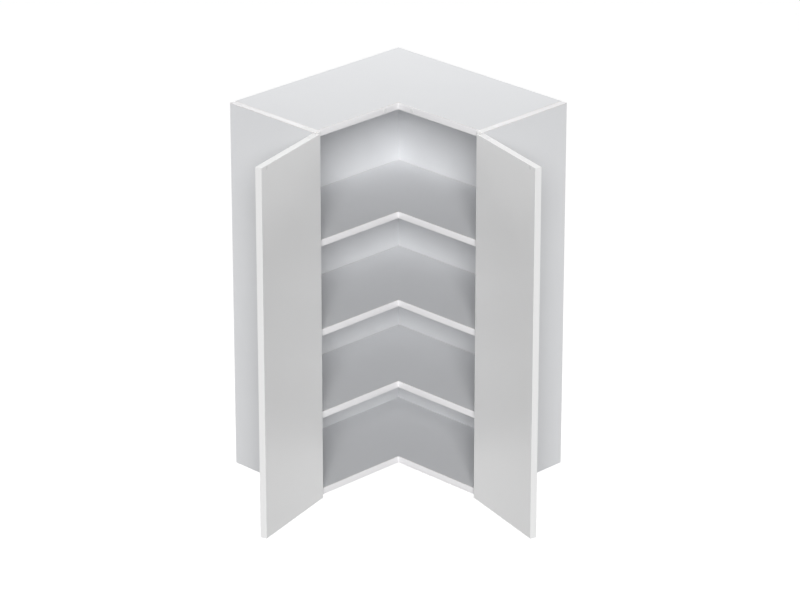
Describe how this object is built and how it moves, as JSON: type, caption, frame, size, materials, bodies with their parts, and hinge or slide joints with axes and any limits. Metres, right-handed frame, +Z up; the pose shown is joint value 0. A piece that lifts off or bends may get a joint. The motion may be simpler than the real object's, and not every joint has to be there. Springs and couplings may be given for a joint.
{
  "type": "corner wall cabinet",
  "caption": "L-shaped corner wall cabinet with open-cornered shelves and two plain hinged doors, hung on rails behind its backs.",
  "frame": {"origin": "the room's corner line, where the two wall planes meet, at the cabinet's underside", "axes": "+Z up; the right wall is the plane y = 0 with +Y into it; the left wall is the plane x = 0 with -X into it; the cabinet fills +X and -Y"},
  "size_m": [0.8619, 0.8619, 1],
  "materials": {
    "melamine_board": "light grey melamine-faced chipboard, fine matt",
    "white_edging": "white ABS edging, satin",
    "door_lacquer": "white lacquered fibreboard, satin",
    "raw_board": "raw chipboard",
    "beech": "fluted beech dowel",
    "white_plastic": "moulded, satin",
    "white_steel": "white powder coat",
    "nickel_steel": "nickel-plated",
    "zinc_steel": "zinc-plated"
  },
  "bodies": {
    "cabinet": {"back_panel_screws": "zinc_steel", "bottom_cam_bolts": "zinc_steel", "bottom_cams": "zinc_steel", "bottom_panel": "melamine_board", "bottom_panel_edging": "white_edging", "catch_magnets": "nickel_steel", "left_back_panel": "melamine_board", "left_bottom_pivot_frame_plate": "white_steel", "left_catch_sleeve": "white_plastic", "left_end_panel": "melamine_board", "left_end_panel_front_edging": "white_edging", "left_end_panel_top_edging": "white_edging", "left_frame_plate_screws": "white_steel", "left_pivot_pins": "nickel_steel", "left_pivot_washers": "nickel_steel", "left_top_pivot_frame_plate": "white_steel", "lower_left_hanging_rail": "raw_board", "lower_right_hanging_rail": "raw_board", "lower_shelf": "melamine_board", "lower_shelf_edging": "white_edging", "lower_shelf_pins": "zinc_steel", "middle_shelf": "melamine_board", "middle_shelf_edging": "white_edging", "middle_shelf_pins": "zinc_steel", "panel_dowels": "beech", "rail_corner_screws": "zinc_steel", "rail_dowels": "beech", "right_back_panel": "melamine_board", "right_bottom_pivot_frame_plate": "white_steel", "right_catch_sleeve": "white_plastic", "right_end_panel": "melamine_board", "right_end_panel_front_edging": "white_edging", "right_end_panel_top_edging": "white_edging", "right_frame_plate_screws": "white_steel", "right_pivot_pins": "nickel_steel", "right_pivot_washers": "nickel_steel", "right_top_pivot_frame_plate": "white_steel", "top_cam_bolts": "zinc_steel", "top_cams": "zinc_steel", "top_panel": "melamine_board", "top_panel_edging": "white_edging", "upper_left_hanging_rail": "raw_board", "upper_right_hanging_rail": "raw_board", "upper_shelf": "melamine_board", "upper_shelf_edging": "white_edging", "upper_shelf_pins": "zinc_steel"},
    "left_door": {"left_bottom_pivot_door_plate": "white_steel", "left_door": "door_lacquer", "left_door_plate_screws": "white_steel", "left_door_strike": "white_steel", "left_top_pivot_door_plate": "white_steel"},
    "right_door": {"right_bottom_pivot_door_plate": "white_steel", "right_door": "door_lacquer", "right_door_plate_screws": "white_steel", "right_door_strike": "white_steel", "right_top_pivot_door_plate": "white_steel"}
  },
  "joints": [
    {"name": "right_door_swing", "type": "hinge", "parent": "cabinet", "child": "right_door", "pos_m": [0.596, -0.31062, 0], "axis": [0, 0, 1], "range_deg": [-165, 15]},
    {"name": "left_door_swing", "type": "hinge", "parent": "cabinet", "child": "left_door", "pos_m": [0.31062, -0.596, 0], "axis": [0, 0, -1], "range_deg": [-165, 15]}
  ]
}
